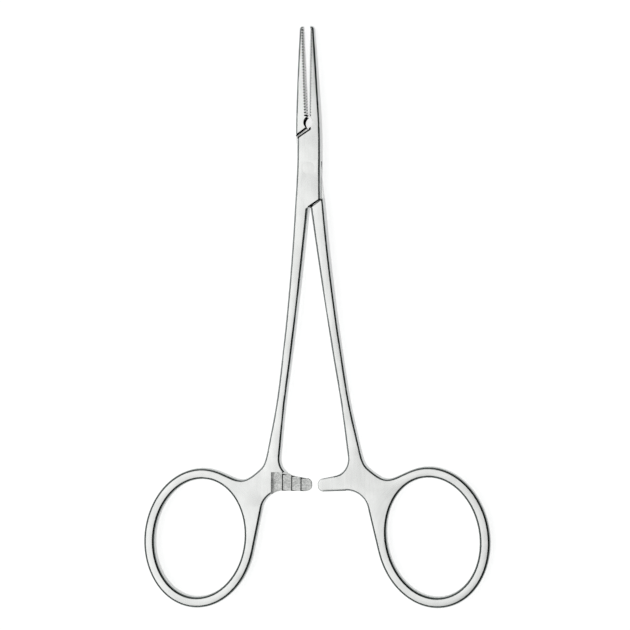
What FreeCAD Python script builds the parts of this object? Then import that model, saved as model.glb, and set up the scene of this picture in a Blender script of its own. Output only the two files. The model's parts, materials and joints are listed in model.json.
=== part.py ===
import FreeCAD, Part
import math
import os

# Straight mosquito forceps with a box lock and a ratchet, in millimetres.
# Two forged halves cross at the lock: the tenon of one passes through the slot of the other,
# and a flush riveted pin holds them.
# Each half is drawn with the jaws closed: the pin stands at the origin, the tips point
# along +Y, and z = 0 is the middle of the metal's thickness. At the end the halves are
# turned apart to the opening at which the forceps lies, and the part is set on z = 0.
# Shapes that both halves share are drawn on the +X side and mirrored for the other half.

Vec = FreeCAD.Vector
ORIGIN = Vec(0, 0, 0)
UP = Vec(0, 0, 1)

# Opening of the halves
rest_opening_deg = 2.7
full_opening_deg = 60.0

# Jaws
tip_reach = 30.65
tip_half_width = 0.95
tip_flat = 0.3
tip_round = 0.85
tip_thickness = 2.0
jaw_gap = 0.04
jaw_root_half_width = 2.5
jaw_belly = 0.08
edge_round = 0.58

# Serrations and the hollow behind them
groove_pitch = 0.616
groove_depth = 0.3
groove_land = 0.22
groove_tip_margin = 0.45
groove_end_reach = 0.22
groove_end_drop = 0.18
hollow_start = 8.55
hollow_end = 11.0
hollow_depth = 0.7

# Box lock
box_half_width = 2.6
box_half_width_proximal = 2.65
box_half_width_distal = 2.5
box_thickness = 4.0
shoulder_reach = 8.35
box_flat_margin = 1.15
shoulder_angle_deg = 34.0
jaw_shoulder_gap = 0.35
shank_shoulder_gap = 0.15
shoulder_break = 0.2
shoulder_run_out = 0.45

# Tenon and its slot
tenon_thickness = 1.4
tenon_half_width = 2.55
tenon_flare = 0.35
tenon_bite = 1.0
slot_clearance = 0.04
stop_clearance = 0.05
neck_clearance = 0.03

# Lock pin
pin_radius = 1.0
pin_head_radius = 1.35
pin_head_height = 0.4
pin_running_clearance = 0.03

# Shanks
crotch_half_gap = 0.06
shank_end = 60.0
shank_end_offset = 7.09
shank_straightness = 0.67
shank_start_width = 2.94
shank_waist_width = 2.08
shank_waist_place = 0.8
shank_end_width = 2.9
shank_thickness = 3.0
shank_taper_length = 38.0

# Finger rings
ring_side_step = 16.4
ring_drop = 20.1
ring_tilt_deg = 7.1
ring_hole_half_length = 12.85
ring_hole_half_width = 9.87
ring_band = 2.3
ring_blend_deg = 10.0
ring_leg_deg = 95.0
saddle_drop = 7.05
saddle_side_step = 6.1
saddle_turn = 1.65

# Ratchet arms
ratchet_drop = 9.6
ratchet_tip_width = 2.58
ratchet_top_slope = 0.17
ratchet_inner_round = 3.8
ratchet_outer_round = 4.6
ratchet_tip_round = 1.15
ratchet_reach = 0.85
ratchet_step_inset = 0.7
ratchet_window_drop = 5.5
tooth_count = 3
tooth_pitch = 2.03
tooth_height = 0.45
tooth_face_width = 0.3
tooth_valley = 0.3
tooth_flank_break = 0.25
first_tooth = 1.3

# Values that follow from the sizes above
half_box = box_thickness / 2
half_tenon = tenon_thickness / 2
half_gap = jaw_gap / 2
neck_gap = half_gap + neck_clearance
shoulder_slope = math.tan(math.radians(shoulder_angle_deg))
shoulder_stretch = 1 / math.cos(math.radians(shoulder_angle_deg))
box_flat_half_length = shoulder_reach + box_flat_margin
crotch = Vec(crotch_half_gap, -shoulder_reach - shoulder_slope * crotch_half_gap, 0)
shank_start_offset = crotch_half_gap + shank_start_width / 2
ring_reach = shank_end + ring_drop
ring_centre = Vec(shank_end_offset + ring_side_step, -ring_reach, 0)
ring_long = Vec(-math.sin(math.radians(ring_tilt_deg)), math.cos(math.radians(ring_tilt_deg)), 0)
ring_short = Vec(-ring_long.y, ring_long.x, 0)
ring_outer_half_length = ring_hole_half_length + ring_band
ring_outer_half_width = ring_hole_half_width + ring_band
ring_end = ring_reach + ring_outer_half_length
ratchet_base = -shank_end - ratchet_drop
beyond = 10.0
past_tip_run = 1.0
on_outline = 0.01
slot_height = half_tenon + slot_clearance
full_width = ring_centre.x + ring_outer_half_length + beyond


def line(a, b):
    return Part.LineSegment(a, b).toShape()


def path(points):
    """Straight edges from point to point."""
    return [line(a, b) for a, b in zip(points, points[1:])]


def spline(points, start=None, end=None):
    """A smooth edge through points, with its end directions where they are given."""
    curve = Part.BSplineCurve()
    if start is None:
        curve.interpolate(Points=points)
    else:
        curve.interpolate(Points=points, InitialTangent=start, FinalTangent=end)
    return curve.toShape()


def prism(edges, z_low, z_high):
    """A solid between two heights from a closed outline drawn at z = 0."""
    face = Part.Face(Part.Wire(Part.__sortEdges__(edges)))
    face.translate(Vec(0, 0, z_low))
    return face.extrude(Vec(0, 0, z_high - z_low))


def plate(points, z_low, z_high):
    """A solid between two heights with straight sides through the given corners."""
    return prism(path(points + [points[0]]), z_low, z_high)


def mirrored(shape):
    """The same shape on the other side of the centre plane."""
    return shape.mirror(ORIGIN, Vec(1, 0, 0))


def flipped(shape):
    """The same shape with front and back exchanged."""
    return shape.mirror(ORIGIN, UP)


def round_corner(before, corner, after, radius):
    """Both tangent points and the arc that rounds the corner between two straight runs."""
    back = (before - corner).normalize()
    ahead = (after - corner).normalize()
    half_angle = back.getAngle(ahead) / 2
    reach = radius / math.tan(half_angle)
    bisector = (back + ahead).normalize()
    middle = corner + bisector * (radius / math.sin(half_angle) - radius)
    start = corner + back * reach
    end = corner + ahead * reach
    return start, end, Part.Arc(start, middle, end).toShape()


def shank_offset(t):
    """Distance of the shank's centre line from the centre plane, from crotch 0 to ratchet 1."""
    bend = shank_straightness * t + (1 - shank_straightness) * t * t
    return shank_start_offset + (shank_end_offset - shank_start_offset) * bend


def shank_width(t):
    """Width of the shank, narrowest at its waist."""
    if t < shank_waist_place:
        swell = (shank_start_width - shank_waist_width) * (1 - t / shank_waist_place) ** 2
    else:
        share = (t - shank_waist_place) / (1 - shank_waist_place)
        swell = (shank_end_width - shank_waist_width) * share ** 2
    return shank_waist_width + swell


def shank_wall(side):
    """Points down one wall of the shank: side is +1 outside and -1 inside."""
    shares = [i / 6 for i in range(7)]
    drop = -shank_end - crotch.y
    return [Vec(shank_offset(t) + side * shank_width(t) / 2, crotch.y + drop * t, 0) for t in shares]


def ring_ellipse(half_length, half_width):
    top = ring_centre + ring_long * half_length
    side = ring_centre + ring_short * half_width
    return Part.Ellipse(top, side, ring_centre)


def upper_shoulder(x, gap=0.0):
    """Height of the lock's upper shoulder line at x, moved a gap away from the pin."""
    return shoulder_reach + gap * shoulder_stretch + shoulder_slope * x


def lower_shoulder(x, gap=0.0):
    """Height of the lock's lower shoulder line at x, moved a gap away from the pin."""
    return -shoulder_reach - gap * shoulder_stretch + shoulder_slope * x


def jaw_shoulder(x):
    """Height of the tenon half's jaw shoulder, a small gap above the lock's upper shoulder."""
    return upper_shoulder(x, jaw_shoulder_gap)


def shank_shoulder(x):
    """Height of the tenon half's shank shoulder, a small gap below the lock's lower shoulder."""
    return lower_shoulder(x, shank_shoulder_gap)


def jaw_outer_points():
    """Outer edge of the +X jaw, from the tip's corner down to the middle of the lock."""
    top = tip_reach - tip_round
    bottom = shoulder_reach
    points = []
    for share in (0, 0.3, 0.65, 1.0):
        straight = tip_half_width + (jaw_root_half_width - tip_half_width) * share
        belly = jaw_belly * math.sin(math.pi * share)
        points.append(Vec(straight + belly, top - (top - bottom) * share, 0))
    return points + [Vec(box_half_width, 0, 0)]


def jaw_end():
    """Edges round the tip of the +X jaw, from its closed face to its outer edge."""
    face = Vec(half_gap, tip_reach, 0)
    flat = Vec(tip_flat, tip_reach, 0)
    side = jaw_outer_points()[0]
    nose = spline([flat, side], Vec(1, 0, 0), (jaw_outer_points()[1] - side).normalize())
    return [line(face, flat), nose]


def ratchet_corners(last_inside, fall, leg_top, leg_direction):
    """Corners of the ratchet arm: its top's root, both at its tip, and its base's root."""
    tip_top = Vec(-ratchet_reach, ratchet_base + ratchet_tip_width, 0)
    tip_base = Vec(-ratchet_reach, ratchet_base, 0)
    lean = -fall.x / fall.y
    run = last_inside.x - tip_top.x + lean * (last_inside.y - tip_top.y)
    run /= 1 + ratchet_top_slope * lean
    top_root = tip_top + Vec(1, ratchet_top_slope, 0) * run
    base_root = leg_top + leg_direction * ((ratchet_base - leg_top.y) / leg_direction.y)
    return top_root, tip_top, tip_base, base_root


def handle_edges():
    """Plan edges of the +X handle, from the crotch round ratchet and ring to the lock's side."""
    inside = shank_wall(-1)
    outside = shank_wall(1)
    fall = (inside[-1] - inside[-2]).normalize()
    leave = (outside[-2] - outside[-1]).normalize()
    ring = ring_ellipse(ring_outer_half_length, ring_outer_half_width)
    leg_angle = math.radians(ring_leg_deg)
    blend_angle = math.radians(ring_blend_deg)
    leg_top = ring.value(leg_angle)
    leg_direction = ring.tangent(leg_angle)[0] * -1
    top_root, tip_top, tip_base, base_root = ratchet_corners(inside[-1], fall, leg_top, leg_direction)
    a1, a2, top_fillet = round_corner(inside[-1], top_root, tip_top, ratchet_inner_round)
    b1, b2, tip_arc = round_corner(top_root, tip_top, tip_base, ratchet_tip_round)
    c1, c2, tip_base_arc = round_corner(tip_top, tip_base, base_root, ratchet_tip_round)
    d1, d2, base_fillet = round_corner(tip_base, base_root, leg_top, ratchet_outer_round)
    band = Part.ArcOfEllipse(ring, leg_angle, 2 * math.pi + blend_angle).toShape()
    saddle = Vec(shank_end_offset + saddle_side_step, -shank_end - saddle_drop, 0)
    turn = Vec((outside[-1].x + saddle.x) / 2, saddle.y + saddle_turn, 0)
    web = spline([ring.value(blend_angle), saddle, turn, outside[-1]], ring.tangent(blend_angle)[0], leave)
    inner_wall = spline(inside + [a1], (inside[1] - inside[0]).normalize(), fall)
    lock_side = [Vec(box_half_width, 0, 0)]
    lock_side.append(Vec(box_half_width_distal, upper_shoulder(-box_half_width_distal), 0))
    up = (lock_side[1] - lock_side[0]).normalize()
    outer_wall = spline(outside[::-1] + lock_side, leave, up)
    arm = [top_fillet, line(a2, b1), tip_arc, line(b2, c1), tip_base_arc, line(c2, d1), base_fillet]
    return [inner_wall] + arm + [line(d2, leg_top), band, web, outer_wall]


def jaw_arc_radius():
    """Radius of the arc in which the jaws thin from the lock to the tip."""
    run = tip_reach - box_flat_half_length
    drop = half_box - tip_thickness / 2
    return (run * run + drop * drop) / (2 * drop)


def jaw_half_thickness(y):
    """Half the thickness of the metal at a height above the pin, where the jaws taper in an arc."""
    radius = jaw_arc_radius()
    along = y - box_flat_half_length
    return half_box - radius + math.sqrt(radius * radius - along * along)


def thickness_profile():
    """The forceps seen from the side, as a solid that trims a flat blank to its thickness."""
    half_tip = tip_thickness / 2
    half_shank = shank_thickness / 2
    flat = box_flat_half_length
    run = tip_reach - flat
    middle = Vec(0, flat + run / 2, jaw_half_thickness(flat + run / 2))
    fall = run / (jaw_arc_radius() - half_box + half_tip)
    past_tip = Vec(0, tip_reach + past_tip_run, half_tip - past_tip_run * fall)
    tip = Vec(0, tip_reach, half_tip)
    box_front = Vec(0, flat, half_box)
    box_back = Vec(0, -flat, half_box)
    shank = Vec(0, -flat - shank_taper_length, half_shank)
    far_end = Vec(0, -ring_end - beyond, half_shank)
    far_end_below = Vec(0, far_end.y, -far_end.z)
    past_tip_below = Vec(0, past_tip.y, -past_tip.z)
    backwards = Vec(0, -1, 0)
    top = [line(past_tip, tip), Part.Arc(tip, middle, box_front).toShape(), line(box_front, box_back)]
    top += [spline([box_back, shank], backwards, backwards), line(shank, far_end)]
    ends = [line(far_end, far_end_below), line(past_tip_below, past_tip)]
    face = Part.Face(Part.Wire(Part.__sortEdges__(top + [flipped(edge) for edge in top] + ends)))
    width = 2 * full_width
    face.translate(Vec(-width / 2, 0, 0))
    return face.extrude(Vec(width, 0, 0))


def forging(outline, holes, rounded_edges):
    """A full-thickness blank from its plan outline, with front and back edges rounded."""
    solid = prism(outline, -box_thickness, box_thickness)
    for hole in holes:
        solid = solid.cut(prism([hole], -box_thickness, box_thickness))
    solid = solid.common(thickness_profile())
    picked = []
    for edge in solid.Edges:
        middle = edge.valueAt((edge.FirstParameter + edge.LastParameter) / 2)
        above = Part.Vertex(Vec(middle.x, middle.y, 0))
        upright = abs(middle.z) < half_box / 4
        if not upright and any(above.distToShape(part)[0] < on_outline for part in rounded_edges):
            picked.append(edge)
    return solid.makeFillet(edge_round, picked)


def finger_hole():
    """Ellipse through the +X finger ring."""
    return ring_ellipse(ring_hole_half_length, ring_hole_half_width).toShape()


def edge_wedge(x_start, y_edge, slope, z_edge, side):
    """A wedge along one long edge of the +X ratchet arm that breaks the ends of its teeth."""
    run = shank_end_offset + ratchet_step_inset - x_start
    y_start = y_edge + slope * (x_start + ratchet_reach)
    size = tooth_flank_break
    inside = y_start - side * size
    outside = y_start + side * size
    corners = [Vec(x_start, inside, z_edge), Vec(x_start, y_start, z_edge - size)]
    corners += [Vec(x_start, outside, z_edge - size), Vec(x_start, outside, z_edge)]
    return Part.Face(Part.Wire(path(corners + [corners[0]]))).extrude(Vec(run, slope * run, 0))


def ratchet_cut():
    """What is milled off the front of the +X ratchet arm to leave its teeth."""
    crest = tooth_height - tooth_valley
    start = -ratchet_reach - beyond
    step = shank_end_offset + ratchet_step_inset
    window = -shank_end - ratchet_window_drop
    profile = [(start, -tooth_valley), (-ratchet_reach, -tooth_valley)]
    for i in range(tooth_count):
        x = first_tooth + i * tooth_pitch
        profile += [(x, crest), (x + tooth_face_width, -tooth_valley)]
    profile += [(step, -tooth_valley), (step, beyond), (start, beyond)]
    points = [Vec(x, window, z) for x, z in profile]
    face = Part.Face(Part.Wire(path(points + [points[0]])))
    teeth = face.extrude(Vec(0, ratchet_base - beyond / 2 - window, 0))
    top = ratchet_base + ratchet_tip_width
    return teeth.fuse([edge_wedge(start, top, ratchet_top_slope, crest, 1),
                       edge_wedge(start, ratchet_base, 0, crest, -1)])


def groove_cuts():
    """The V grooves across the closed face of the +X jaw, each with its ends sloped open."""
    length = tip_reach - groove_tip_margin - hollow_end
    half_width = (groove_pitch - groove_land) / 2
    overshoot = half_gap
    spread = half_width * (1 + overshoot / groove_depth)
    slope = groove_end_drop / groove_end_reach
    cuts = []
    for i in range(int(length / groove_pitch)):
        y = hollow_end + (i + 0.5) * groove_pitch
        root = Vec(half_gap + groove_depth, y, 0)
        corners = [Vec(half_gap - overshoot, y - spread, 0), root, Vec(half_gap - overshoot, y + spread, 0)]
        cuts.append(plate(corners, -beyond, beyond))
        top = jaw_half_thickness(y)
        low = Vec(half_gap - overshoot, y - half_width, top - groove_end_drop - slope * overshoot)
        inner = Vec(half_gap + groove_end_reach + beyond, low.y, top + slope * beyond)
        high = Vec(low.x, low.y, inner.z)
        opened = Part.Face(Part.Wire(path([low, inner, high, low]))).extrude(Vec(0, 2 * half_width, 0))
        cuts += [opened, flipped(opened)]
    return Part.Compound(cuts)


def hollow_cut():
    """The round hollow between lock and grooves in the closed face of the +X jaw."""
    half_chord = (hollow_end - hollow_start) / 2
    radius = (half_chord ** 2 + hollow_depth ** 2) / (2 * hollow_depth)
    centre = Vec(half_gap + hollow_depth - radius, hollow_start + half_chord, -beyond)
    return Part.makeCylinder(radius, 2 * beyond, centre)


def stop_line(x):
    """Height at x of the slot's slanted end, against which the tenon seats when fully open."""
    a = math.radians(full_opening_deg)
    return (tenon_half_width + stop_clearance - x * math.cos(a)) / math.sin(a)


def slot_cut():
    """The slot through the lock: all but the metal that joins the cheeks at either end."""
    corner = Vec(half_gap, stop_line(half_gap), 0)
    side = Vec(beyond, stop_line(beyond), 0)
    half = [Vec(half_gap, beyond, 0), corner, side, Vec(beyond, -beyond, 0)]
    return plate(half + [point * -1 for point in half], -slot_height, slot_height)


def tenon():
    """The thin web of the lock that turns in the slot, from jaw shoulder to shank shoulder."""
    w = tenon_half_width
    a = math.radians(full_opening_deg)
    seat = (box_half_width - w * math.cos(a)) / math.sin(a)
    root = math.sqrt(w * w - neck_gap * neck_gap)
    wide = w + tenon_flare
    diagonal = w * math.sqrt(0.5)
    upper_round = Part.Arc(Vec(w, 0, 0), Vec(diagonal, diagonal, 0), Vec(-neck_gap, root, 0)).toShape()
    lower_round = Part.Arc(Vec(-w, 0, 0), Vec(-diagonal, -diagonal, 0), Vec(neck_gap, -root, 0)).toShape()
    upper = [Vec(-neck_gap, root, 0)]
    upper.append(Vec(-neck_gap, jaw_shoulder(-neck_gap) + tenon_bite, 0))
    upper.append(Vec(-w, jaw_shoulder(-w) + tenon_bite, 0))
    upper.append(Vec(-w, 0, 0))
    lower = [Vec(neck_gap, -root, 0)]
    lower.append(Vec(neck_gap, shank_shoulder(neck_gap), 0))
    lower.append(Vec(crotch.x + tenon_bite, shank_shoulder(crotch.x) - tenon_bite, 0))
    lower.append(Vec(wide, shank_shoulder(wide) - tenon_bite, 0))
    lower.append(Vec(wide, shank_shoulder(wide), 0))
    lower.append(Vec(w, -seat, 0))
    lower.append(Vec(w, 0, 0))
    return prism([upper_round] + path(upper) + [lower_round] + path(lower), -half_tenon, half_tenon)


def below(line_height):
    """Everything from a shoulder line downwards, as a tool."""
    wide = full_width
    low = -ring_end - beyond
    return plate([Vec(-wide, line_height(-wide), 0), Vec(-wide, low, 0), Vec(wide, low, 0),
                  Vec(wide, line_height(wide), 0)], -beyond, beyond)


def shoulder_breaks(line_height, x_start, x_end):
    """Wedges that break the front and back edges along a shoulder line, between two places on it."""
    y = line_height(x_start)
    corners = [Vec(x_start, y - shoulder_break, half_box), Vec(x_start, y, half_box - shoulder_break)]
    corners.append(Vec(x_start, y + shoulder_break, half_box))
    run = Vec(x_end - x_start, line_height(x_end) - y, 0)
    wedge = Part.Face(Part.Wire(path(corners + [corners[0]]))).extrude(run)
    return Part.Compound([wedge, flipped(wedge)])


def box_half():
    """The slotted half: +X jaw, the two cheeks of the lock and the -X handle."""
    lower_corner = Vec(box_half_width_proximal, lower_shoulder(box_half_width_proximal), 0)
    upper_corner = Vec(-box_half_width_distal, upper_shoulder(-box_half_width_distal), 0)
    root = Vec(half_gap, upper_shoulder(half_gap), 0)
    tip = Vec(half_gap, tip_reach, 0)
    outer = jaw_end() + [spline(jaw_outer_points() + [lower_corner])]
    handle = [mirrored(edge) for edge in handle_edges()]
    hole = mirrored(finger_hole())
    shoulders = [line(lower_corner, Vec(-crotch.x, crotch.y, 0)), line(upper_corner, root)]
    solid = forging(outer + shoulders + handle + [line(root, tip)], [hole], outer + handle + [hole])
    solid = solid.cut(slot_cut())
    solid = solid.cut(shoulder_breaks(upper_shoulder, -full_width, shoulder_run_out))
    solid = solid.cut(shoulder_breaks(lower_shoulder, -crotch.x, full_width))
    return solid.cut([groove_cuts(), hollow_cut(), mirrored(ratchet_cut()), lock_pin()])


def insert_half():
    """The half with the tenon: -X jaw, tenon and +X handle."""
    foot = Vec(half_gap, 0, 0)
    outer = jaw_end() + [spline(jaw_outer_points())]
    outline = outer + [line(jaw_outer_points()[-1], foot), line(foot, Vec(half_gap, tip_reach, 0))]
    jaw = mirrored(forging(outline, [], outer).cut([groove_cuts(), hollow_cut()]))
    jaw = jaw.cut(below(jaw_shoulder)).cut(shoulder_breaks(jaw_shoulder, -full_width, 0))
    handle = handle_edges()
    top = handle[-1].lastVertex(True).Point
    closing = path([top, Vec(crotch.x, top.y, 0), crotch])
    hole = finger_hole()
    shank = forging(handle + closing, [hole], handle + [hole])
    shank = shank.common(below(shank_shoulder)).cut(shoulder_breaks(shank_shoulder, 0, full_width))
    shank = shank.cut(flipped(ratchet_cut()))
    bore = Part.makeCylinder(pin_radius + pin_running_clearance, 2 * beyond, Vec(0, 0, -beyond))
    return jaw.fuse([shank, tenon()]).cut([bore, mirrored(hollow_cut())])


def lock_pin():
    """The riveted pin, whose cone heads fill their seats flush with the cheeks."""
    shaft = Part.makeCylinder(pin_radius, box_thickness, Vec(0, 0, -half_box))
    head = Part.makeCone(pin_radius, pin_head_radius, pin_head_height, Vec(0, 0, half_box - pin_head_height))
    return shaft.fuse([head, flipped(head)]).removeSplitter()


def main():
    os.makedirs("parts", exist_ok=True)
    pieces = {"box_half": box_half(), "insert_half": insert_half(), "lock_pin": lock_pin()}
    for name, shape in pieces.items():
        turn = rest_opening_deg / 2
        shape.rotate(ORIGIN, UP, turn if name == "insert_half" else -turn)
    bounds = Part.Compound(list(pieces.values())).optimalBoundingBox(False, False)
    shift = Vec(-bounds.Center.x, -bounds.Center.y, -bounds.ZMin)
    for name, shape in pieces.items():
        shape.translate(shift)
        shape.exportStep("parts/" + name + ".step")
        print(name, "valid", shape.isValid(), "solids", len(shape.Solids), "volume", round(shape.Volume, 2))
    print("size", round(bounds.XLength, 3), round(bounds.YLength, 3), round(bounds.ZLength, 3))
    print("pin at", round(shift.x, 4), round(shift.y, 4), round(shift.z, 4))


main()
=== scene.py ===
# %% [markdown]
# A straight hemostat forceps lies on white paper, seen from above.
# The real one is two steel forgings and one rivet. Each forging is struck to shape, milled at the
# lock, the ratchet and the jaws, then ground and buffed to a satin finish.
# The sizes come from a packed model, so nothing here is drawn to scale again. This lesson gives the
# three parts clean meshes, the finish of each surface, a sky to reflect, and a camera.

# %% Load the three parts
import json
import math
import bpy
import numpy as np
from mathutils import Matrix, Vector


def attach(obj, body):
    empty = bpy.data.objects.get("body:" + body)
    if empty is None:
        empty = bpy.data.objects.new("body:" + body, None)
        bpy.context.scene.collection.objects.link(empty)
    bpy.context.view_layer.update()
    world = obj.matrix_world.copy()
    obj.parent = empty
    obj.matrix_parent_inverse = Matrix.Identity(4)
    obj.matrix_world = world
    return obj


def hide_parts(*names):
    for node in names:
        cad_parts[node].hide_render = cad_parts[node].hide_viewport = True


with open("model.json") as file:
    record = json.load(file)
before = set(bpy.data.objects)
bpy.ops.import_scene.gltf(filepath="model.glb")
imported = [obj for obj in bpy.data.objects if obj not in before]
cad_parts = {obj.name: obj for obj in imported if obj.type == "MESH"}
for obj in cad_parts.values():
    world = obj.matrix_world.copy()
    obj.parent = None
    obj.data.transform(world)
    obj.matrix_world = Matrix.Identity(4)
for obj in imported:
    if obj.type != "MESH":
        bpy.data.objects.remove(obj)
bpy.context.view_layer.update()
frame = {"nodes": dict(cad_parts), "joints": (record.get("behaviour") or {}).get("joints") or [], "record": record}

MM = 0.001
hinge = frame["joints"][0]
pin = Vector(hinge["pos_m"])
print("parts", sorted(frame["nodes"]), "pin at", [round(value / MM, 2) for value in pin], "mm")

# %% [markdown]
# The picture is taken almost straight down, from about half a metre away, with the camera a little
# to the right: the walls that face right show as thin strips, and those that face left are hidden.
# The camera could be turned by hand until it looks right. Here it is worked out from what can be
# measured: the side tilt, the roll, the distance, the width of paper in view and the point aimed at.
# A lens is then a plain ratio, sensor width times distance over the width in view.

# %% Camera above the forceps
SIDE_TILT = math.radians(8.0)
ROLL = math.radians(0.95)
DISTANCE = 460 * MM
VIEW_WIDTH = 135.8 * MM
SENSOR_WIDTH = 36
NEAREST_SEEN = 10 * MM
AIM = pin + Vector((0.62, -31.6, 0.0)) * MM


def look_down():
    across = Vector((math.cos(SIDE_TILT), 0, -math.sin(SIDE_TILT)))
    along = Vector((0, 1, 0))
    back = across.cross(along)
    right = across * math.cos(ROLL) - along * math.sin(ROLL)
    up = along * math.cos(ROLL) + across * math.sin(ROLL)
    bpy.ops.object.camera_add()
    camera = bpy.context.object
    turn = Matrix((right, up, back)).transposed().to_4x4()
    camera.matrix_world = Matrix.Translation(AIM + back * DISTANCE) @ turn
    camera.data.sensor_width = SENSOR_WIDTH
    camera.data.lens = SENSOR_WIDTH * DISTANCE / VIEW_WIDTH
    camera.data.clip_start = NEAREST_SEEN
    bpy.context.scene.camera = camera
    return camera


camera = look_down()
print("lens", round(camera.data.lens, 1), "mm")

# %% [markdown]
# Everything seen below is wired from nodes: the sky, the paper, the steel. Blender's own calls for
# that are long: make a node, find its socket, set it or link it. Written out each time, they would
# hide what the wiring does.
# So one small class holds a node tree and gives the calls short names. Values and links go in by
# the same call, which keeps a formula in nodes almost as short as the formula itself.
# A Mix node has sockets for every kind of data, and several share a name, so they are found by
# their place: the share, then the two things that are mixed.

# %% Helper that wires nodes
MIX_VALUES = (0, 2, 3)
MIXED_VALUE = 0
MIX_COLOURS = (0, 6, 7)
MIXED_COLOUR = 2


class Wires:
    """A node tree while it is wired: nodes are added and linked by short calls."""

    def __init__(self, tree):
        self.tree = tree

    def put(self, value, socket):
        """Links an output to an input, or sets the input to a plain value."""
        if isinstance(value, bpy.types.NodeSocket):
            self.tree.links.new(value, socket)
        else:
            socket.default_value = value

    def add(self, kind, *values, operation=None):
        """A node of a kind, with its first inputs filled in their order."""
        node = self.tree.nodes.new(kind)
        if operation:
            node.operation = operation
        for value, socket in zip(values, node.inputs):
            self.put(value, socket)
        return node

    def math(self, operation, *values):
        return self.add("ShaderNodeMath", *values, operation=operation).outputs[0]

    def vector(self, operation, *values):
        return self.add("ShaderNodeVectorMath", *values, operation=operation).outputs["Vector"]

    def measure(self, operation, *vectors):
        """A number made from vectors, such as a length or a dot product."""
        return self.add("ShaderNodeVectorMath", *vectors, operation=operation).outputs["Value"]

    def join(self, x, y, z):
        return self.add("ShaderNodeCombineXYZ", x, y, z).outputs[0]

    def split(self, vector):
        return self.add("ShaderNodeSeparateXYZ", vector).outputs

    def noise(self, vector, scale, detail=2.0, rough=0.5):
        node = self.tree.nodes.new("ShaderNodeTexNoise")
        inputs = {"Vector": vector, "Scale": scale, "Detail": detail, "Roughness": rough}
        for label, value in inputs.items():
            self.put(value, node.inputs[label])
        return node.outputs["Fac"]

    def fit(self, value, low, high, out_low=0.0, out_high=1.0):
        """Maps a value from one range to another, clamped, with soft ends."""
        node = self.add("ShaderNodeMapRange", value, low, high, out_low, out_high)
        node.interpolation_type = "SMOOTHSTEP"
        return node.outputs[0]

    def fall(self, value, edge, share):
        """1 while a value is under a share of an edge, then down to 0 at the edge."""
        return self.fit(value, self.math("MULTIPLY", edge, share), edge, 1.0, 0.0)

    def ramp(self, value, stops):
        """A colour that changes with a value from 0 to 1, by stops of place and colour."""
        node = self.add("ShaderNodeValToRGB", value)
        elements = node.color_ramp.elements
        while len(elements) < len(stops):
            elements.new(0.5)
        for element, (place, colour) in zip(elements, stops):
            element.position = place
            element.color = (*colour, 1)
        return node.outputs[0]

    def mix_node(self, data_type, places, values):
        node = self.tree.nodes.new("ShaderNodeMix")
        node.data_type = data_type
        for value, place in zip(values, places):
            self.put(value, node.inputs[place])
        return node.outputs

    def mix(self, share, a, b):
        """Mixes two values."""
        return self.mix_node("FLOAT", MIX_VALUES, (share, a, b))[MIXED_VALUE]

    def blend(self, share, a, b):
        """Mixes two colours."""
        return self.mix_node("RGBA", MIX_COLOURS, (share, a, b))[MIXED_COLOUR]


print("wiring calls", [name for name in vars(Wires) if not name.startswith("_")])

# %% [markdown]
# Metal has no colour of its own to speak of: it shows what it reflects. Polished instruments are
# photographed under a wide soft box in a dim room. The flats then mirror the box and go pale, and
# every rounded edge mirrors the dim room as a thin dark line.
# Lamps could be that room, at the cost of noise and hard lamp edges. A sky does it with two lists of
# greys by height above the horizon, one for the left half of the room and one for the right. The
# box reaches further down on the left, so edges that face right run into the dark sooner and keep a
# wider line. The sky also gets brighter towards the left, by a gain.
# A colour ramp counts from 0 to 1, so the sine of each height is halved and moved up by a half.

# %% Sky that the steel reflects
SKY_LEFT = [
    (-10.0, (0.20, 0.21, 0.21)),
    (6.0, (0.16, 0.17, 0.17)),
    (28.0, (0.14, 0.15, 0.15)),
    (40.0, (0.028, 0.034, 0.032)),
    (47.0, (0.028, 0.034, 0.032)),
    (59.0, (0.93, 0.94, 0.93)),
    (90.0, (1.02, 1.02, 1.01)),
]
SKY_RIGHT = [
    (-10.0, (0.05, 0.06, 0.06)),
    (-3.0, (0.012, 0.018, 0.016)),
    (4.0, (0.08, 0.09, 0.09)),
    (26.0, (0.10, 0.11, 0.11)),
    (40.0, (0.002, 0.007, 0.006)),
    (71.0, (0.002, 0.008, 0.007)),
    (80.0, (0.93, 0.94, 0.93)),
    (90.0, (1.02, 1.02, 1.01)),
]
SIDE_BLEND = 0.35
LEFT_GAIN = 0.7


def hang_sky():
    world = bpy.data.worlds.new("soft_box_sky")
    bpy.context.scene.world = world
    world.use_nodes = True
    world.node_tree.nodes.clear()
    w = Wires(world.node_tree)
    direction = w.add("ShaderNodeTexCoord").outputs["Generated"]
    x, _, z = w.split(direction)
    height = w.math("MULTIPLY_ADD", z, 0.5, 0.5)
    halves = []
    for sky in (SKY_LEFT, SKY_RIGHT):
        stops = [(0.5 + 0.5 * math.sin(math.radians(degrees)), grey) for degrees, grey in sky]
        halves.append(w.ramp(height, stops))
    both = w.blend(w.fit(x, -SIDE_BLEND, SIDE_BLEND), *halves)
    gain = w.math("MULTIPLY_ADD", x, -LEFT_GAIN, 1.0)
    background = w.add("ShaderNodeBackground", both, gain)
    w.add("ShaderNodeOutputWorld", background.outputs[0])


hang_sky()
print("sky stops", len(SKY_LEFT), "left", len(SKY_RIGHT), "right")

# %% [markdown]
# The forceps lies on white paper. Plain white paper under this sky would come out grey, because
# only the soft box lights it. Turning the light up would burn out the steel.
# So the paper also glows for rays from the camera, and less for rays that bounce off metal: it
# looks white, the walls of the steel mirror it as a pale grey, and the soft shadow under the steel
# stays. The sheet lies a fiftieth of a millimetre below the steel, so no two faces share a plane.

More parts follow.
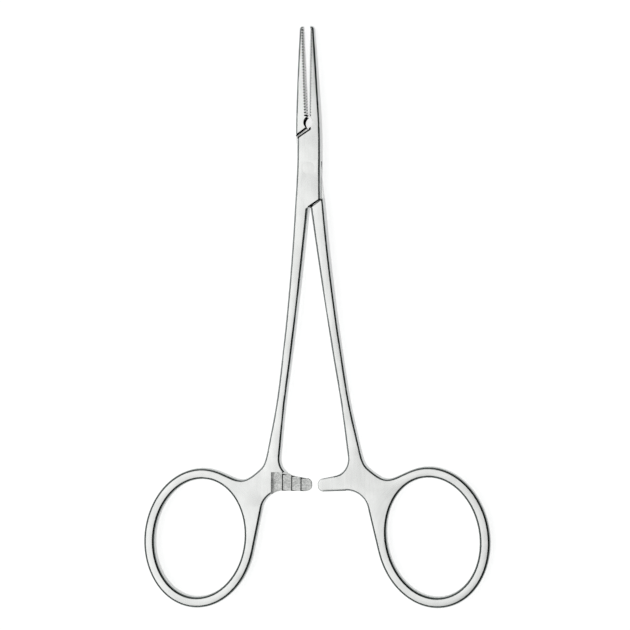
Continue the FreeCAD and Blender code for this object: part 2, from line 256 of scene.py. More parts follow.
# %% White paper
PAPER_SIZE = 3.0
PAPER_COLOUR = (0.90, 0.90, 0.90, 1)
PAPER_GLOW = 0.80
PAPER_GLOW_IN_STEEL = 0.57
PAPER_DROP = 0.02 * MM


def lay_paper():
    bpy.ops.object.select_all(action="DESELECT")
    bpy.ops.mesh.primitive_plane_add(size=PAPER_SIZE, location=(0, 0, -PAPER_DROP))
    paper = bpy.context.object
    paper.name = "paper"
    material = bpy.data.materials.new("white_paper")
    material.use_nodes = True
    material.node_tree.nodes.clear()
    w = Wires(material.node_tree)
    ray = w.add("ShaderNodeLightPath").outputs
    direct = w.math("MAXIMUM", ray["Is Camera Ray"], ray["Is Transmission Ray"])
    in_steel = w.math("MULTIPLY", ray["Is Glossy Ray"], PAPER_GLOW_IN_STEEL)
    strength = w.math("MAXIMUM", w.math("MULTIPLY", direct, PAPER_GLOW), in_steel)
    diffuse = w.add("ShaderNodeBsdfDiffuse", PAPER_COLOUR)
    glow = w.add("ShaderNodeEmission", (1, 1, 1, 1), strength)
    total = w.add("ShaderNodeAddShader", diffuse.outputs[0], glow.outputs[0])
    w.add("ShaderNodeOutputMaterial", total.outputs[0])
    paper.data.materials.append(material)


lay_paper()
print("paper", PAPER_SIZE, "m wide")

# %% [markdown]
# Several finishes below share the same small effects: grain left by the buffing wheel, faint
# clouds, hair scratches, and marks of the milling cutter. Each effect could be wired again in every
# material, and would then be changed in one and forgotten in another. A node group is wired once,
# has named inputs, and is placed in each material with its own values.
# The groups give out only values and places, so that each material keeps its own shader. Lengths
# are in metres, and a scale in a noise counts its blobs per metre.

# %% Helper that builds a node group
SOCKETS = {"value": "NodeSocketFloat", "vector": "NodeSocketVector"}


class Group(Wires):
    """A shader node group while it is wired. An input with a number is a value, else a vector."""

    def __init__(self, name, inputs, outputs):
        super().__init__(bpy.data.node_groups.new(name, "ShaderNodeTree"))
        sockets = self.tree.interface
        for label, number in inputs.items():
            kind = "vector" if number is None else "value"
            socket = sockets.new_socket(label, in_out="INPUT", socket_type=SOCKETS[kind])
            if number is not None:
                socket.default_value = number
        for label, kind in outputs.items():
            sockets.new_socket(label, in_out="OUTPUT", socket_type=SOCKETS[kind])
        self.start = self.tree.nodes.new("NodeGroupInput")
        self.end = self.tree.nodes.new("NodeGroupOutput")

    def get(self, label):
        return self.start.outputs[label]

    def give(self, label, socket):
        self.tree.links.new(socket, self.end.inputs[label])


print("sockets", sorted(SOCKETS))

# %% [markdown]
# The buffing wheel runs along the limbs and round the rings, so its grain has a direction. A grain
# on plain coordinates would run straight across the rings. A vector attribute painted on the mesh
# could turn it, but these flats have few points to hold one.
# The shader can work it out instead: near a ring, the distance round its centre and the distance
# out from it take the place of up and across. The group gives out both sets, and how much of the
# ring's set to use.

# %% Group: way of the grain
RING_FADE = 2.2 * MM


def make_grain_way():
    inputs = {"Vector": None, "Ring Centre": None, "Ring Radius": 12.4 * MM, "Ring Reach": 16.5 * MM}
    g = Group("grain_way", inputs,
              {"Along Limb": "vector", "Round Ring": "vector", "Ring Share": "value"})
    x, y, z = g.split(g.get("Vector"))
    g.give("Along Limb", g.join(x, y, z))
    dx, dy, _ = g.split(g.vector("SUBTRACT", g.get("Vector"), g.get("Ring Centre")))
    radius = g.measure("LENGTH", g.join(dx, dy, 0.0))
    angle = g.math("ARCTAN2", dx, g.math("MULTIPLY", dy, -1.0))
    round_way = g.math("MULTIPLY", angle, g.get("Ring Radius"))
    g.give("Round Ring", g.join(radius, round_way, z))
    start = g.math("SUBTRACT", g.get("Ring Reach"), RING_FADE)
    g.give("Ring Share", g.fit(radius, start, g.get("Ring Reach"), 1.0, 0.0))
    return g.tree


GRAIN_WAY = make_grain_way()
print("group", GRAIN_WAY.name)

# %% [markdown]
# Satin grain is thousands of fine lines, each far longer than it is wide. A photograph of brushed
# steel could be used as an image, but it would repeat and smear. Stretched noise does it better:
# the coordinates are squeezed along the grain, so every blob of noise becomes a long line.
# A wheel leaves both fine lines and a few coarser streaks, so the group gives out both.

# %% Group: satin grain
STREAKS_PER_LINE = 0.17
LINE_SPREAD = (0.3, 0.7)
STREAK_SPREAD = (0.32, 0.68)


def make_satin_grain():
    inputs = {"Vector": None, "Lines per Metre": 9000.0, "Length Ratio": 30.0, "Seed": 0.0}
    g = Group("satin_grain", inputs, {"Lines": "value", "Streaks": "value"})
    x, y, z = g.split(g.get("Vector"))
    shrunk = g.math("DIVIDE", y, g.get("Length Ratio"))
    shifted = g.math("ADD", z, g.get("Seed"))
    way = g.join(x, shrunk, shifted)
    fine = g.noise(way, g.get("Lines per Metre"), rough=0.6)
    coarse = g.noise(way, g.math("MULTIPLY", g.get("Lines per Metre"), STREAKS_PER_LINE))
    g.give("Lines", g.fit(fine, *LINE_SPREAD))
    g.give("Streaks", g.fit(coarse, *STREAK_SPREAD))
    return g.tree


SATIN_GRAIN = make_satin_grain()
print("group", SATIN_GRAIN.name)

# %% [markdown]
# Handling leaves hair scratches that cross the grain at all angles. Drawing curves for them would
# cost geometry. A contour line of slow noise is already a thin wandering line, so the group keeps
# only the values close to the middle of the noise, and a second noise breaks the lines into
# short pieces. Two sets that lean and slide differently are laid over each other.

# %% Group: hair scratches
SCRATCH_SETS = ((0.35, 3.1), (-0.6, 11.7))
SCRATCH_STRETCH = 0.22
BREAKS_PER_SCRATCH = 1.9
FEWEST_KEPT = 0.72
MORE_KEPT = 0.3
SURELY_KEPT = 0.74


def make_hair_scratches():
    inputs = {"Vector": None, "Spacing": 4 * MM, "Width": 0.012, "Amount": 0.5}
    g = Group("hair_scratches", inputs, {"Mask": "value"})
    x, y, z = g.split(g.get("Vector"))
    scale = g.math("DIVIDE", 1.0, g.get("Spacing"))
    break_scale = g.math("MULTIPLY", scale, BREAKS_PER_SCRATCH)
    kept_from = g.math("SUBTRACT", FEWEST_KEPT, g.math("MULTIPLY", g.get("Amount"), MORE_KEPT))
    parts = []
    for lean, slide in SCRATCH_SETS:
        leaning = g.math("ADD", x, g.math("MULTIPLY", y, lean))
        way = g.join(leaning, g.math("MULTIPLY", y, SCRATCH_STRETCH), g.math("ADD", z, slide))
        waves = g.noise(way, scale, detail=0.0, rough=0.0)
        off = g.math("ABSOLUTE", g.math("SUBTRACT", waves, 0.5))
        line = g.fit(off, 0.0, g.get("Width"), 1.0, 0.0)
        slid = g.vector("ADD", g.get("Vector"), (slide, 0, 0))
        breaks = g.noise(slid, break_scale, detail=1.0)
        parts.append(g.math("MULTIPLY", line, g.fit(breaks, kept_from, SURELY_KEPT)))
    g.give("Mask", g.math("MAXIMUM", *parts))
    return g.tree


HAIR_SCRATCHES = make_hair_scratches()
print("group", HAIR_SCRATCHES.name)

# %% [markdown]
# Flats that look even are not: the steel has soft clouds where the wheel pressed harder and where
# fingers have been. Clouds are slow noise with a little detail, kept very weak.
# A second, finer speckle stands for the pores of the steel.

# %% Group: clouds and pores
CLOUD_SPREAD = (0.3, 0.7)
PORE_SPREAD = (0.62, 0.75)


def make_steel_clouds():
    inputs = {"Vector": None, "Cloud Size": 6 * MM, "Pore Size": 0.22 * MM}
    g = Group("steel_clouds", inputs, {"Clouds": "value", "Pores": "value"})
    place = g.get("Vector")
    clouds = g.noise(place, g.math("DIVIDE", 1.0, g.get("Cloud Size")), detail=3.0, rough=0.55)
    pores = g.noise(place, g.math("DIVIDE", 1.0, g.get("Pore Size")), rough=0.6)
    g.give("Clouds", g.fit(clouds, *CLOUD_SPREAD))
    g.give("Pores", g.fit(pores, *PORE_SPREAD))
    return g.tree


STEEL_CLOUDS = make_steel_clouds()
print("group", STEEL_CLOUDS.name)

# %% [markdown]
# Edges are buffed last and touched most, so they are smoother than the flats. The same mask also
# paints them darker, a painted dark reflection. The shape could be measured for sharpness, but the
# mesh is uneven. The direction of the surface is enough: a flat faces straight up or down, a wall
# faces sideways, and only a rounded edge faces in between. A little noise keeps the border of the
# buffed strip from being a clean line.

# %% Group: buffed edges and their painted shade
WOBBLES_PER_METRE = 900.0
TURNED_AWAY = (0.005, 0.08)
WALL_UPRIGHT = (0.05, 0.3)


def make_edge_buffing_and_shade():
    g = Group("buffed_edge", {"Normal": None, "Vector": None, "Unevenness": 0.25}, {"Mask": "value"})
    upright = g.math("ABSOLUTE", g.split(g.get("Normal"))[2])
    noise = g.math("SUBTRACT", g.noise(g.get("Vector"), WOBBLES_PER_METRE), 0.5)
    wobble = g.math("MULTIPLY", noise, g.get("Unevenness"))
    turned = g.math("SUBTRACT", 1.0, upright)
    away = g.fit(g.math("ADD", turned, g.math("MULTIPLY", wobble, turned)), *TURNED_AWAY)
    wall = g.fit(upright, *WALL_UPRIGHT, 1.0, 0.0)
    g.give("Mask", g.math("MULTIPLY", away, g.math("SUBTRACT", 1.0, wall)))
    return g.tree


EDGE_BUFFING_AND_SHADE = make_edge_buffing_and_shade()
print("group", EDGE_BUFFING_AND_SHADE.name)

# %% [markdown]
# A milling cutter leaves even ridges side by side, a little slanted. A sine of the place gives
# straight even bands, and a little noise added to it makes them waver as a cutter does. A second
# noise gives the patches where the cutter tore or polished the steel.

# %% Group: cutter marks
RIDGE_SLANT = 0.35
WAVERS_PER_METRE = 1400.0
WAVER_TURN = 12.0
PATCHES_PER_METRE = 2600.0
PATCH_SPREAD = (0.35, 0.65)


def make_cutter_marks():
    g = Group("cutter_marks", {"Vector": None, "Spacing": 0.12 * MM, "Waver": 0.4},
              {"Ridges": "value", "Patches": "value"})
    place = g.get("Vector")
    x, y, _ = g.split(place)
    waver = g.math("MULTIPLY", g.noise(place, WAVERS_PER_METRE), g.get("Waver"))
    slanted = g.math("ADD", y, g.math("MULTIPLY", x, RIDGE_SLANT))
    turn = g.math("MULTIPLY", g.math("DIVIDE", slanted, g.get("Spacing")), math.tau)
    wave = g.math("SINE", g.math("ADD", turn, g.math("MULTIPLY", waver, WAVER_TURN)))
    g.give("Ridges", g.math("MULTIPLY_ADD", wave, 0.5, 0.5))
    patches = g.noise(place, PATCHES_PER_METRE, detail=3.0, rough=0.65)
    g.give("Patches", g.fit(patches, *PATCH_SPREAD))
    return g.tree


CUTTER_MARKS = make_cutter_marks()
print("group", CUTTER_MARKS.name)

# %% [markdown]
# The joint where one half meets the other gets a painted shade: a thin dark line along a straight
# seam, where shade falls in the gap.
# Cutting it into the mesh would need new faces; a distance from a line in the shader needs none. The
# group takes a point on the seam, its direction, and how far past the point the line runs.

# %% Group: painted shade along a seam
RAGS_PER_METRE = 3000.0
RAGGED = (0.5, 0.75)
SEAM_CORE = 0.7
SEAM_EDGE = 1.3
SEAM_END = 0.6


def make_seam_shade():
    inputs = {"Vector": None, "Seam Point": None, "Seam Way": None, "Half Width": 0.2 * MM,
              "Run": 0.6 * MM}
    g = Group("dark_seam", inputs, {"Mask": "value"})
    offset = g.vector("SUBTRACT", g.get("Vector"), g.get("Seam Point"))
    along = g.measure("DOT_PRODUCT", offset, g.get("Seam Way"))
    across = g.split(g.vector("CROSS_PRODUCT", g.get("Seam Way"), offset))[2]
    ragged = g.math("MULTIPLY_ADD", g.noise(g.get("Vector"), RAGS_PER_METRE), *RAGGED)
    width = g.math("MULTIPLY", g.get("Half Width"), ragged)
    core = g.math("MULTIPLY", width, SEAM_CORE)
    near = g.fit(g.math("ABSOLUTE", across), core, g.math("MULTIPLY", width, SEAM_EDGE), 1.0, 0.0)
    ends = g.fall(along, g.get("Run"), SEAM_END)
    g.give("Mask", g.math("MULTIPLY", near, ends))
    return g.tree


SEAM_SHADE = make_seam_shade()
print("group", SEAM_SHADE.name)

# %% [markdown]
# The grooves of the jaws are even: one every 0.616 mm. The mouth of each and the metal round it get
# painted shade, and the walls further down are left bare. The mouths can be found by
# counting: the height along the jaw, divided by the pitch, has a whole part that numbers the groove
# and a rest that says how far a point is from its middle. The jaws thin towards their tips in a
# shallow arc, so the depth below the front or back face follows that arc.

# %% Group: painted shade in the groove mouths
IN_GROOVE = (0.22, 0.30)
REACH_CORE = 0.8
MOUTH_CORE = 0.7
ARC_START = 9.5 * MM
ARC_RUN = 21.15 * MM
LOCK_HALF_THICKNESS = 2 * MM
ARC_THINNING = 1 * MM


def make_groove_mouth_shade():
    inputs = {"Vector": None, "Pin": None, "Jaw Way": None, "Jaw Side": None, "Pitch": 0.616 * MM,
              "First": 11 * MM, "Last": 30.2 * MM, "Reach": 0.52 * MM, "Mouth": 0.9 * MM}
    g = Group("groove_mouths", inputs, {"Mask": "value"})
    first, last = g.get("First"), g.get("Last")
    offset = g.vector("SUBTRACT", g.get("Vector"), g.get("Pin"))
    along = g.measure("DOT_PRODUCT", offset, g.get("Jaw Way"))
    depth = g.measure("DOT_PRODUCT", offset, g.get("Jaw Side"))
    count = g.math("DIVIDE", g.math("SUBTRACT", along, first), g.get("Pitch"))
    off = g.math("ABSOLUTE", g.math("SUBTRACT", g.math("FRACT", count), 0.5))
    in_groove = g.fit(off, *IN_GROOVE, 1.0, 0.0)
    in_reach = g.fall(depth, g.get("Reach"), REACH_CORE)
    in_run = g.math("MULTIPLY", g.math("GREATER_THAN", along, first), g.math("LESS_THAN", along, last))
    share = g.math("DIVIDE", g.math("SUBTRACT", along, ARC_START), ARC_RUN)
    squared = g.math("MULTIPLY", share, share)
    half_thickness = g.math("MULTIPLY_ADD", squared, -ARC_THINNING, LOCK_HALF_THICKNESS)
    below = g.math("SUBTRACT", half_thickness, g.math("ABSOLUTE", g.split(offset)[2]))
    in_mouth = g.fall(below, g.get("Mouth"), MOUTH_CORE)
    in_plan = g.math("MULTIPLY", in_groove, in_reach)
    g.give("Mask", g.math("MULTIPLY", in_plan, g.math("MULTIPLY", in_run, in_mouth)))
    return g.tree


GROOVE_MOUTH_SHADE = make_groove_mouth_shade()
print("group", GROOVE_MOUTH_SHADE.name)

# %% [markdown]
# Each material below starts from the same helper, which makes the material, its Principled shader
# and ways to place a group, to raise or sink the surface by a bump, and to let a number move about
# its middle. On the flats the base colour stays close to that of the real metal, and the marks move
# it by less than a tenth.

# %% Helper that builds a material
class Finish(Wires):
    """A material while it is wired, with its Principled shader."""

    def __init__(self, name):
        self.material = bpy.data.materials.new(name)
        self.material.use_nodes = True
        super().__init__(self.material.node_tree)
        self.shader = self.tree.nodes["Principled BSDF"]
        self.place = self.add("ShaderNodeTexCoord").outputs["Object"]
        self.normal = self.add("ShaderNodeNewGeometry").outputs["Normal"]

    def use(self, tree, **inputs):
        """Places a group with its inputs and returns its outputs."""
        node = self.tree.nodes.new("ShaderNodeGroup")
        node.node_tree = tree
        for name, value in inputs.items():
            self.put(value, node.inputs[name.replace("_", " ")])
        return node.outputs

    def bump(self, height, distance, strength, under=None):
        node = self.tree.nodes.new("ShaderNodeBump")
        node.inputs["Distance"].default_value = distance
        node.inputs["Strength"].default_value = strength
        self.put(height, node.inputs["Height"])
        if under is not None:
            self.put(under, node.inputs["Normal"])
        return node.outputs[0]

    def pit(self, depth, distance, strength, under=None):
        """A bump that goes down where its mask is bright."""
        return self.bump(self.math("MULTIPLY", depth, -1.0), distance, strength, under)

    def about(self, middle, spread, mask):
        """A value that a mask moves from half a spread under its middle to half a spread over."""
        return self.math("MULTIPLY_ADD", mask, spread, middle - spread / 2)

    def set(self, label, value):
        self.put(value, self.shader.inputs[label])


print("material calls", [name for name in vars(Finish) if not name.startswith("_")])

# %% [markdown]
# The satin steel of each half gets painted shade in two places, the seam of the lock and the mouths
# of the grooves. Both follow the half, which lies turned about the pin by half the opening, so their
# places are worked out with the jaws closed and then turned. Side is +1 for the half whose handle
# is on the right and -1 for the other.

# %% Painted shade in the satin steel
SIDES = {"box_half": -1, "insert_half": 1}
HALF_OPENING = -math.radians(hinge["range_deg"][0]) / 2
SHOULDER = math.radians(34)
SHOULDER_REACH = 8.15 * MM


def shade_in_steel(f, side):
    """A mask of painted shade along the seam and in the grooves' mouths on one half."""
    turn = side * HALF_OPENING
    cos, sin = math.cos(turn), math.sin(turn)
    reach = -side * SHOULDER_REACH
    seam = f.use(SEAM_SHADE, Vector=f.place,
                 Seam_Point=(pin.x - sin * reach, pin.y + cos * reach, pin.z),
                 Seam_Way=(math.cos(SHOULDER + turn), math.sin(SHOULDER + turn), 0))
    mouths = f.use(GROOVE_MOUTH_SHADE, Vector=f.place, Pin=tuple(pin), Jaw_Way=(-sin, cos, 0),
                   Jaw_Side=(-side * cos, -side * sin, 0))
    return f.math("MAXIMUM", seam["Mask"], mouths["Mask"])


print("halves lie turned by", round(math.degrees(HALF_OPENING), 2), "degrees")

# %% [markdown]
# Satin steel covers the flats, the walls and the rounded edges of both halves. The wheel leaves
# the flats slightly rough, so they glow evenly under the soft box; the edges are smoother and
# mirror the dim room sharply. The edges are also painted darker, a painted dark reflection, and
# the edges of the rings much darker. Where the seam and the groove mouths get painted shade, the
# metal turns into a matte black that mirrors nothing.

# %% Material: satin steel
STEEL_PALE = (0.82, 0.827, 0.822, 1)
STEEL_CLOUD = (0.755, 0.762, 0.758, 1)
# Darker colours on the rounded edges: painted dark reflections, darkest on the rings.
STEEL_EDGE_SHADE = (0.70, 0.72, 0.715, 1)
RING_EDGE_SHADE = (0.26, 0.285, 0.275, 1)
SCRATCH_TONE = (0.66, 0.67, 0.67, 1)
# The colour of the painted shade along the seam and in the grooves' mouths.
PAINTED_SHADE_TONE = (0.012, 0.016, 0.015, 1)
RING_STEP = 25.4 * MM
RING_DROP = 79.5 * MM
CLOUD_SHARE = 0.65
SCRATCH_SHARE = 0.35
FLAT_ROUGHNESS = 0.22
EDGE_ROUGHNESS = 0.08
GRAIN_ROUGHNESS = 0.05
CLOUD_ROUGHNESS = 0.05
GRAIN_HEIGHT = 0.001 * MM
MARK_DEPTH = 0.002 * MM


def satin_steel(name, side):
    """The finish of one half."""
    f = Finish(name)
    way = f.use(GRAIN_WAY, Vector=f.place, Ring_Centre=(side * RING_STEP, pin.y - RING_DROP, pin.z))
    limb = f.use(SATIN_GRAIN, Vector=way["Along Limb"])
    ring = f.use(SATIN_GRAIN, Vector=way["Round Ring"], Seed=4.0)
    lines = f.mix(way["Ring Share"], limb["Lines"], ring["Lines"])
    streaks = f.mix(way["Ring Share"], limb["Streaks"], ring["Streaks"])
    steel = f.use(STEEL_CLOUDS, Vector=f.place)
    scratches = f.use(HAIR_SCRATCHES, Vector=f.place)["Mask"]
    edge = f.use(EDGE_BUFFING_AND_SHADE, Normal=f.normal, Vector=f.place)["Mask"]
    # The painted shade along the seam and in the grooves' mouths, matte and near black.
    scale = shade_in_steel(f, side)
    colour = f.blend(f.mix(CLOUD_SHARE, streaks, steel["Clouds"]), STEEL_PALE, STEEL_CLOUD)
    colour = f.blend(f.math("MULTIPLY", scratches, SCRATCH_SHARE), colour, SCRATCH_TONE)
    # The rounded edges are painted darker here, a painted dark reflection.
    edge_shade_colour = f.blend(way["Ring Share"], STEEL_EDGE_SHADE, RING_EDGE_SHADE)
    f.set("Base Color", f.blend(scale, f.blend(edge, colour, edge_shade_colour), PAINTED_SHADE_TONE))
    rough = f.about(FLAT_ROUGHNESS, GRAIN_ROUGHNESS, lines)
    rough = f.math("MULTIPLY_ADD", steel["Clouds"], CLOUD_ROUGHNESS, rough)
    f.set("Roughness", f.mix(edge, rough, EDGE_ROUGHNESS))
    f.set("Metallic", f.math("SUBTRACT", 1.0, scale))
    f.set("Specular IOR Level", 0.0)
    grain = f.bump(lines, GRAIN_HEIGHT, strength=0.35)
    pores = f.pit(steel["Pores"], MARK_DEPTH, strength=0.25, under=grain)
    f.set("Normal", f.pit(scratches, MARK_DEPTH, strength=0.4, under=pores))
    return f.material


STEEL = {
    "box_half": satin_steel("satin_steel_left", SIDES["box_half"]),
    "insert_half": satin_steel("satin_steel_right", SIDES["insert_half"]),
}
print("materials", [material.name for material in STEEL.values()])

# %% [markdown]
# Ratchet teeth are milled before the steel is hardened, and the wheel hardly reaches them, so they
# keep the cutter's finish: rougher and darker, with fine ridges and patchy tones.

# %% Material: milled steel
MILLED_PALE = (0.72, 0.725, 0.72, 1)
MILLED_DARK = (0.42, 0.43, 0.425, 1)
MILLED_CLOUD_SIZE = 1.2 * MM
MILLED_CLOUD_SHARE = 0.45
MILLED_ROUGHNESS = 0.30
MILLED_ROUGH_SPREAD = 0.12
RIDGE_HEIGHT = 0.004 * MM
PATCH_HEIGHT = 0.01 * MM


def milled_steel():
    f = Finish("milled_steel")
    marks = f.use(CUTTER_MARKS, Vector=f.place)
    steel = f.use(STEEL_CLOUDS, Vector=f.place, Cloud_Size=MILLED_CLOUD_SIZE)
    tone = f.mix(MILLED_CLOUD_SHARE, marks["Patches"], steel["Clouds"])
    f.set("Base Color", f.blend(tone, MILLED_PALE, MILLED_DARK))
    f.set("Roughness", f.about(MILLED_ROUGHNESS, MILLED_ROUGH_SPREAD, marks["Patches"]))
    f.set("Metallic", 1.0)
    ridges = f.bump(marks["Ridges"], RIDGE_HEIGHT, strength=0.5)
    f.set("Normal", f.bump(marks["Patches"], PATCH_HEIGHT, strength=0.35, under=ridges))
    return f.material


MILLED = milled_steel()
print("material", MILLED.name)

# %% [markdown]
# This finish is painted shade, a near-black matte colour laid where shade falls: in the hollow behind
# the grooves, on the shoulders of the lock, on the steep side of each tooth and on the end wall of
# each ratchet arm. It is not bare metal, so it is matte: it mirrors nothing, and only its
# faint clouds of lighter spots break the black.

# %% Material: painted shade in crevices
# Colours of the painted shade in crevices: near black, with lighter spots.
CREVICE_SHADE_DARK = (0.008, 0.012, 0.011, 1)
CREVICE_SHADE_SPOTS = (0.04, 0.046, 0.044, 1)
CREVICE_SHADE_CLOUD_SIZE = 0.9 * MM
SPOT_SHARE = 0.6
CREVICE_SHADE_ROUGHNESS = 0.42
CREVICE_SHADE_ROUGH_SPREAD = 0.2
PORE_DEPTH = 0.004 * MM


def hardening_scale():
    f = Finish("hardening_scale")
    steel = f.use(STEEL_CLOUDS, Vector=f.place, Cloud_Size=CREVICE_SHADE_CLOUD_SIZE)
    marks = f.use(CUTTER_MARKS, Vector=f.place)
    lighter_spots = f.math("MULTIPLY", steel["Clouds"], SPOT_SHARE)
    f.set("Base Color", f.blend(lighter_spots, CREVICE_SHADE_DARK, CREVICE_SHADE_SPOTS))
    f.set("Roughness", f.about(CREVICE_SHADE_ROUGHNESS, CREVICE_SHADE_ROUGH_SPREAD, marks["Patches"]))
    f.set("Metallic", 0.0)
    f.set("Specular IOR Level", 0.0)
    pores = f.pit(steel["Pores"], PORE_DEPTH, strength=0.4)
    f.set("Normal", f.bump(marks["Patches"], PATCH_HEIGHT, strength=0.4, under=pores))
    return f.material


CREVICE_SHADE = hardening_scale()
print("material", CREVICE_SHADE.name)

# %% [markdown]
# The pin is riveted and ground flush, then buffed with the box around it. Its ends take the polish
# slightly differently, so it is a touch darker than the flats and has a grain of its own.

# %% Material: pin steel
PIN_PALE = (0.80, 0.805, 0.80, 1)
PIN_DARK = (0.72, 0.725, 0.72, 1)
PIN_ROUGHNESS = 0.225


def pin_steel():
    f = Finish("pin_steel")
    grain = f.use(SATIN_GRAIN, Vector=f.place, Seed=9.0)
    steel = f.use(STEEL_CLOUDS, Vector=f.place)
    f.set("Base Color", f.blend(steel["Clouds"], PIN_PALE, PIN_DARK))
    f.set("Roughness", f.about(PIN_ROUGHNESS, GRAIN_ROUGHNESS, grain["Lines"]))
    f.set("Metallic", 1.0)
    f.set("Normal", f.bump(grain["Lines"], GRAIN_HEIGHT, strength=0.35))
    return f.material


STEEL["lock_pin"] = pin_steel()
print("material", STEEL["lock_pin"].name)

# %% [markdown]
# The packed parts come as loose triangles, each with its own three points, so light breaks at
# every triangle. Smoothing them all would round off the teeth too.
# The way used here: copy the part, merge the points that coincide, smooth only where faces meet at
# a small angle, and weight the normals by face area. The flats then stay flat, the rounded edges
# run smoothly into them, and the teeth stay crisp.

# %% Clean copies of the parts
MERGE_DISTANCE = 0.001 * MM
SMOOTH_ANGLE = math.radians(32)
AREA_WEIGHT = 90


def clean_copy(name):
    bpy.ops.object.select_all(action="DESELECT")
    piece = bpy.data.objects.new(name + "_finished", frame["nodes"][name].data.copy())
    bpy.context.scene.collection.objects.link(piece)
    bpy.context.view_layer.objects.active = piece
    piece.select_set(True)
    bpy.ops.object.mode_set(mode="EDIT")
    bpy.ops.mesh.select_all(action="SELECT")
    bpy.ops.mesh.customdata_custom_splitnormals_clear()
    bpy.ops.mesh.remove_doubles(threshold=MERGE_DISTANCE)
    bpy.ops.object.mode_set(mode="OBJECT")
    bpy.ops.object.shade_smooth_by_angle(angle=SMOOTH_ANGLE)
    weights = piece.modifiers.new("flats_stay_flat", "WEIGHTED_NORMAL")
    weights.keep_sharp = True
    weights.weight = AREA_WEIGHT
    bpy.ops.object.modifier_apply(modifier=weights.name)
    piece.data.materials.clear()
    piece.data.materials.append(STEEL[name])
    print(name, len(piece.data.vertices), "points", len(piece.data.polygons), "faces")
    return piece


pieces = {name: clean_copy(name) for name in frame["nodes"]}

# %% [markdown]
# The finishes below lean the shading normals, the directions that the renderer takes for the
# surface at each corner of a face. That moves what the steel mirrors and leaves the shape alone.
# Blender takes them as one list for the whole mesh, with every direction one unit long.

# %% Helper that leans shading normals
def lean_normals(mesh, lean):
    """Adds a lean to the shading normal of each corner."""
    normals = np.array([corner.vector[:] for corner in mesh.corner_normals]) + lean
    normals /= np.linalg.norm(normals, axis=1, keepdims=True)
    mesh.normals_split_custom_set([tuple(normal) for normal in normals])


print("corners", {name: len(piece.data.loops) for name, piece in pieces.items()})

# %% [markdown]
# A buffed flat is never quite flat: the wheel takes a little more off near its edges, so it swells
# by a few hundredths of a millimetre across its width. The eye cannot see that height, but it sees
# the reflection slide from pale on the left to greyer on the right.
# Modelling it would need many more points. Leaning only the shading normals at the border points
# does the same, because the renderer blends them across the flat.

# %% Crowned flats
CROWN_LEAN = 0.05
FLAT_LIMIT = math.cos(math.radians(7))
WALL_LIMIT = 0.05


def crown_flats(piece):
    mesh = piece.data
    outward = np.zeros((len(mesh.vertices), 3))
    for face in mesh.polygons:
        if WALL_LIMIT < abs(face.normal.z) < FLAT_LIMIT:
            lean = Vector((face.normal.x, face.normal.y, 0)).normalized() * face.area
            outward[list(face.vertices)] += lean
    size = np.linalg.norm(outward, axis=1, keepdims=True)
    outward = np.divide(outward, size, out=np.zeros_like(outward), where=size > 0)
    heights = np.array([corner.vector.z for corner in mesh.corner_normals])
    points = np.array([loop.vertex_index for loop in mesh.loops])
    level = (np.abs(heights) > FLAT_LIMIT)[:, None]
    lean_normals(mesh, outward[points] * CROWN_LEAN * level)
    print(piece.name, int(level.sum()), "corners on the flats")


for name in STEEL:
    crown_flats(pieces[name])

# %% [markdown]
# Which faces were milled, and which get the painted shade? They could be picked by hand in edit mode. In
# code they are found by their place. It is easiest to say where they are with the jaws closed, so
# each face's middle and direction are first turned back about the pin by half the opening at which
# the forceps lies. A wall is told from a flat by how little its direction rises.

# %% Faces with the jaws closed
WALL_RISE = 0.1


def closed_faces(piece, side):
    """Face middles and normals with the jaws closed and the pin at the origin."""
    turn = side * HALF_OPENING
    table = np.array([(*(face.center - pin), *face.normal) for face in piece.data.polygons])
    cos, sin = math.cos(turn), math.sin(turn)
    spin = np.array([[cos, sin, 0], [-sin, cos, 0], [0, 0, 1]])
    return table[:, :3] @ spin.T, table[:, 3:] @ spin.T


closed = {name: closed_faces(pieces[name], side) for name, side in SIDES.items()}
print("faces", {name: len(places) for name, (places, _) in closed.items()})

# %% [markdown]
# Each arm has a recess with teeth milled into one of its two flats: the left arm's look to the
# front, the right arm's to the back. The walls along the sides of the arm belong to the forging and
# not to the cutter's work, so they are left out. The steep side of each tooth and its broken ends
# get painted shade, and so does the wall round the arm's tip.

# %% Faces of the ratchet
RATCHET_TOP = -65.4 * MM
RATCHET_STEP = 7.79 * MM
RATCHET_HALF_HEIGHT = 0.35 * MM
SIDE_WALL_RISE = 0.02
SIDE_WALL_TURN = 0.6
STEEP_TOOTH = 0.7
FLANK = 0.5
TOOTH_ZONE = 6.5 * MM
ARM_TIP = 0.4 * MM


def in_ratchet(places, normals, side):
    """The recess and the teeth milled into the arm, which is on the handle's own side."""
    x, y = places[:, 0] * side, places[:, 1]
    inside = (y < RATCHET_TOP) & (x < RATCHET_STEP) & (np.abs(places[:, 2]) < RATCHET_HALF_HEIGHT)
    side_wall = (np.abs(normals[:, 2]) < SIDE_WALL_RISE) & (np.abs(normals[:, 0]) < SIDE_WALL_TURN)
    return inside & ~side_wall


def dark_in_ratchet(places, normals, side):
    """The steep side of each tooth, its broken ends, and the wall round the arm's tip, which get painted shade."""
    x = places[:, 0] * side
    cut = (np.abs(normals[:, 0]) > STEEP_TOOTH) | (np.abs(normals[:, 1]) > FLANK)
    tip = (x < ARM_TIP) & (np.abs(normals[:, 2]) < WALL_RISE) & (places[:, 1] < RATCHET_TOP)
    return (in_ratchet(places, normals, side) & cut & (x < TOOTH_ZONE)) | tip


for name, side in SIDES.items():
    print(name, int(in_ratchet(*closed[name], side).sum()), "faces in the ratchet")

# %% [markdown]
# Two more places get painted shade. The hollow behind the grooves lies in the closed face of the
# jaw, on the other side from the handle. The shoulders of the lock are walls that look square
# across its slanted lines, so they are known by their direction.

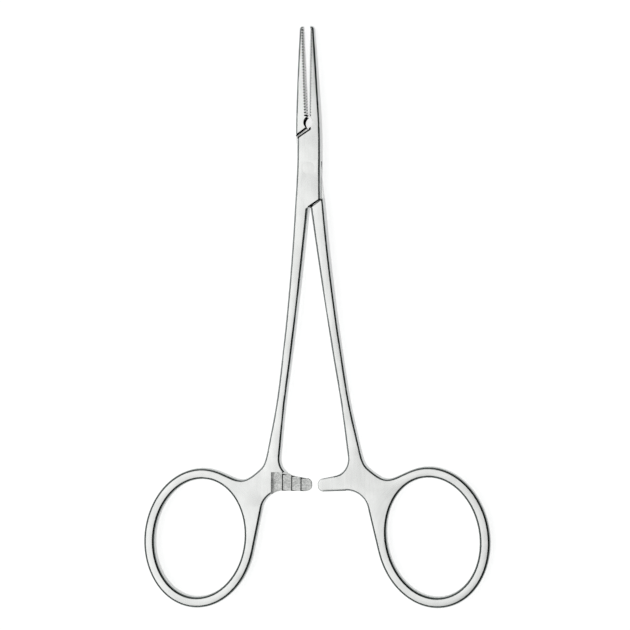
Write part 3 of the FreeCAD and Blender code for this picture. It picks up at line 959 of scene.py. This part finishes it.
# %% Faces in the hollow and on the shoulders
HOLLOW_BOTTOM = 8.5 * MM
HOLLOW_TOP = 11.0 * MM
HOLLOW_DEPTH = 0.72 * MM
LOCK_REACH = 11.5 * MM
LOCK_HALF_WIDTH = 2.7 * MM
LOOKS_ACROSS = 0.6
LOOKS_ALONG = 0.1


def in_hollow(places, normals):
    depth, y = np.abs(places[:, 0]), places[:, 1]
    wall = np.abs(normals[:, 2]) < WALL_RISE
    return (y > HOLLOW_BOTTOM) & (y <= HOLLOW_TOP) & (depth < HOLLOW_DEPTH) & wall


def on_shoulders(places, normals):
    across = normals[:, 1] * math.cos(SHOULDER) - normals[:, 0] * math.sin(SHOULDER)
    along = normals[:, 0] * math.cos(SHOULDER) + normals[:, 1] * math.sin(SHOULDER)
    near = (np.abs(places[:, 1]) < LOCK_REACH) & (np.abs(places[:, 0]) < LOCK_HALF_WIDTH)
    return near & (np.abs(across) > LOOKS_ACROSS) & (np.abs(along) < LOOKS_ALONG)


for name, faces in closed.items():
    print(name, int(in_hollow(*faces).sum()), "hollow", int(on_shoulders(*faces).sum()), "shoulders")

# %% [markdown]
# Each half now gets its three materials, face by face: satin steel, milled steel and painted shade.
# The milled faces are small and tilted, and would mirror the dark part of the sky. The cutter's
# ridges scatter light instead, so their shading normals are turned to look almost straight up or
# down. The bare side of an arm is rubbed by the other arm, and its rounded edge is worn level
# towards the tip, which is done by a smaller lean that grows along the arm.

# %% Milled faces, painted shade and the worn tip
MILLED_SLOT, SHADE_SLOT = 1, 2
MILLED_LEVEL = 6.0
WORN_LEVEL = 2.5
WORN_GROWTH = 0.7
WORN_TIP = -0.6 * MM
WORN_REACH = 4.2 * MM
BARE_RISE = 0.05


def level_normals(mesh, amount, up):
    """Turns shading normals towards straight up or straight down, by an amount for each face."""
    corners = np.repeat(amount, [face.loop_total for face in mesh.polygons])
    lean_normals(mesh, np.outer(corners, (0, 0, up)))


def worn_tip(places, normals, side):
    """How far the rubbed edge at the bare side of the arm's tip is worn level."""
    x, bare = places[:, 0] * side, normals[:, 2] * side > BARE_RISE
    near = np.clip((WORN_REACH - x) / (WORN_REACH - WORN_TIP), 0, 1)
    return np.where(bare & (places[:, 1] < RATCHET_TOP), near ** WORN_GROWTH * WORN_LEVEL, 0.0)


def finish_by_place(piece, faces, side):
    slots = np.where(in_ratchet(*faces, side), MILLED_SLOT, 0)
    # Faces in the hollow, on the shoulders and on the steep side of each tooth get the painted shade.
    slots[in_hollow(*faces) | on_shoulders(*faces) | dark_in_ratchet(*faces, side)] = SHADE_SLOT
    level_normals(piece.data, (slots == MILLED_SLOT) * MILLED_LEVEL, -side)
    level_normals(piece.data, worn_tip(*faces, side), side)
    piece.data.materials.append(MILLED)
    piece.data.materials.append(CREVICE_SHADE)
    piece.data.polygons.foreach_set("material_index", slots.astype(np.int32))
    print(piece.name, "steel, milled and painted shade faces", np.bincount(slots).tolist())


for name, side in SIDES.items():
    finish_by_place(pieces[name], closed[name], side)

# %% [markdown]
# Each finished piece stands for its packed part and moves with the same body, so the halves still
# open about the pin.

# %% Seat the pieces on the moving bodies
for body, members in frame["record"]["behaviour"]["bodies"].items():
    for name in members:
        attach(pieces[name], body)
        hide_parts(name)
    print(body, members)

# %% [markdown]
# The plain view transform shows colours as they are written.

# %% View
bpy.context.scene.view_settings.view_transform = "Standard"
